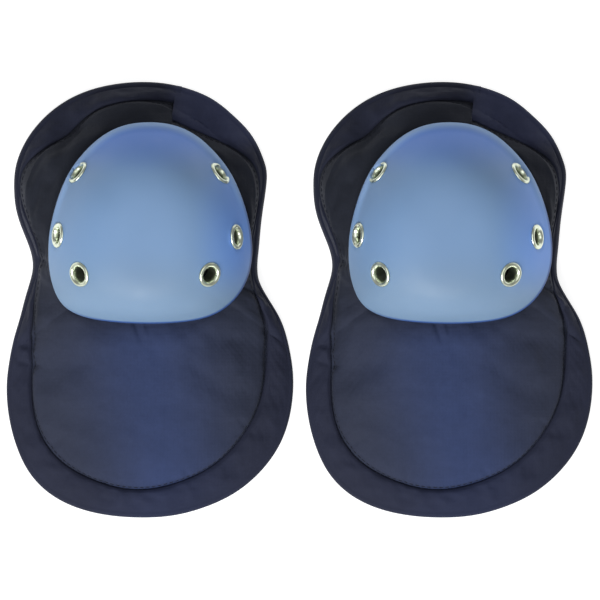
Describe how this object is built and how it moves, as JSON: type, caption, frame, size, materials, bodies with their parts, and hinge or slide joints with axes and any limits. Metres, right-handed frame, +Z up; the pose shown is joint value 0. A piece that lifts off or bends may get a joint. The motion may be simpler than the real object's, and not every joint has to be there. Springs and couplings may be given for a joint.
{
  "type": "knee pads",
  "caption": "Pair of knee pads: rounded hard plastic caps riveted with eyelets to hourglass padded fabric pads, with edge bands and rear elastic straps.",
  "frame": {"origin": "on the ground plane, midway between the two pads, in the middle of the pair's plan box", "axes": "+X across both pads towards the right one, +Y along each pad towards its thigh end, +Z up out of the caps; the pads lie on their backs"},
  "size_m": [0.3419, 0.2538, 0.0725],
  "materials": {
    "cap_plastic": "light blue, moulded, semi-matt",
    "eyelet_metal": "pale nickel-plated brass",
    "cover_fabric": "dark navy woven cloth",
    "band_fabric": "dark navy woven cloth, stitched",
    "liner_fabric": "near-black brushed knit",
    "foam": "charcoal closed-cell foam",
    "elastic_webbing": "black ribbed elastic",
    "hook_tape": "black hook tape",
    "loop_tape": "black brushed loop tape"
  },
  "bodies": {
    "left_pad": {"left_cap": "cap_plastic", "left_front_cover": "cover_fabric", "left_foam_core": "foam", "left_liner": "liner_fabric", "left_edge_band": "band_fabric", "left_eyelet_top_left": "eyelet_metal", "left_eyelet_top_right": "eyelet_metal", "left_eyelet_middle_left": "eyelet_metal", "left_eyelet_middle_right": "eyelet_metal", "left_eyelet_bottom_left": "eyelet_metal", "left_eyelet_bottom_right": "eyelet_metal", "left_washer_top_left": "eyelet_metal", "left_washer_top_right": "eyelet_metal", "left_washer_middle_left": "eyelet_metal", "left_washer_middle_right": "eyelet_metal", "left_washer_bottom_left": "eyelet_metal", "left_washer_bottom_right": "eyelet_metal", "left_upper_strap_anchor": "elastic_webbing", "left_upper_loop_tab": "loop_tape", "left_lower_strap_anchor": "elastic_webbing", "left_lower_loop_tab": "loop_tape"},
    "left_upper_strap": {"left_upper_strap": "elastic_webbing"},
    "left_upper_hook_tab": {"left_upper_hook_tab": "hook_tape"},
    "left_lower_strap": {"left_lower_strap": "elastic_webbing"},
    "left_lower_hook_tab": {"left_lower_hook_tab": "hook_tape"},
    "right_pad": {"right_cap": "cap_plastic", "right_front_cover": "cover_fabric", "right_foam_core": "foam", "right_liner": "liner_fabric", "right_edge_band": "band_fabric", "right_eyelet_top_left": "eyelet_metal", "right_eyelet_top_right": "eyelet_metal", "right_eyelet_middle_left": "eyelet_metal", "right_eyelet_middle_right": "eyelet_metal", "right_eyelet_bottom_left": "eyelet_metal", "right_eyelet_bottom_right": "eyelet_metal", "right_washer_top_left": "eyelet_metal", "right_washer_top_right": "eyelet_metal", "right_washer_middle_left": "eyelet_metal", "right_washer_middle_right": "eyelet_metal", "right_washer_bottom_left": "eyelet_metal", "right_washer_bottom_right": "eyelet_metal", "right_upper_strap_anchor": "elastic_webbing", "right_upper_loop_tab": "loop_tape", "right_lower_strap_anchor": "elastic_webbing", "right_lower_loop_tab": "loop_tape"},
    "right_upper_strap": {"right_upper_strap": "elastic_webbing"},
    "right_upper_hook_tab": {"right_upper_hook_tab": "hook_tape"},
    "right_lower_strap": {"right_lower_strap": "elastic_webbing"},
    "right_lower_hook_tab": {"right_lower_hook_tab": "hook_tape"}
  },
  "joints": [
    {"name": "pair_slide", "type": "slide", "parent": "left_pad", "child": "right_pad", "axis": [1, 0, 0], "range_m": [0, 0.2]},
    {"name": "left_upper_strap_hinge", "type": "hinge", "parent": "left_pad", "child": "left_upper_strap", "pos_m": [-0.14725, 0.052, 0.0013], "axis": [0, 1, 0], "range_deg": [0, 120]},
    {"name": "left_upper_tab_peel", "type": "hinge", "parent": "left_upper_strap", "child": "left_upper_hook_tab", "pos_m": [-0.075, 0.052, 0.0005], "axis": [0, 1, 0], "range_deg": [0, 90]},
    {"name": "left_lower_strap_hinge", "type": "hinge", "parent": "left_pad", "child": "left_lower_strap", "pos_m": [-0.14888, -0.04, 0.0013], "axis": [0, 1, 0], "range_deg": [0, 120]},
    {"name": "left_lower_tab_peel", "type": "hinge", "parent": "left_lower_strap", "child": "left_lower_hook_tab", "pos_m": [-0.075, -0.04, 0.0005], "axis": [0, 1, 0], "range_deg": [0, 90]},
    {"name": "right_upper_strap_hinge", "type": "hinge", "parent": "right_pad", "child": "right_upper_strap", "pos_m": [0.02775, 0.052, 0.0013], "axis": [0, 1, 0], "range_deg": [0, 120]},
    {"name": "right_upper_tab_peel", "type": "hinge", "parent": "right_upper_strap", "child": "right_upper_hook_tab", "pos_m": [0.1, 0.052, 0.0005], "axis": [0, 1, 0], "range_deg": [0, 90]},
    {"name": "right_lower_strap_hinge", "type": "hinge", "parent": "right_pad", "child": "right_lower_strap", "pos_m": [0.02612, -0.04, 0.0013], "axis": [0, 1, 0], "range_deg": [0, 120]},
    {"name": "right_lower_tab_peel", "type": "hinge", "parent": "right_lower_strap", "child": "right_lower_hook_tab", "pos_m": [0.1, -0.04, 0.0005], "axis": [0, 1, 0], "range_deg": [0, 90]}
  ]
}
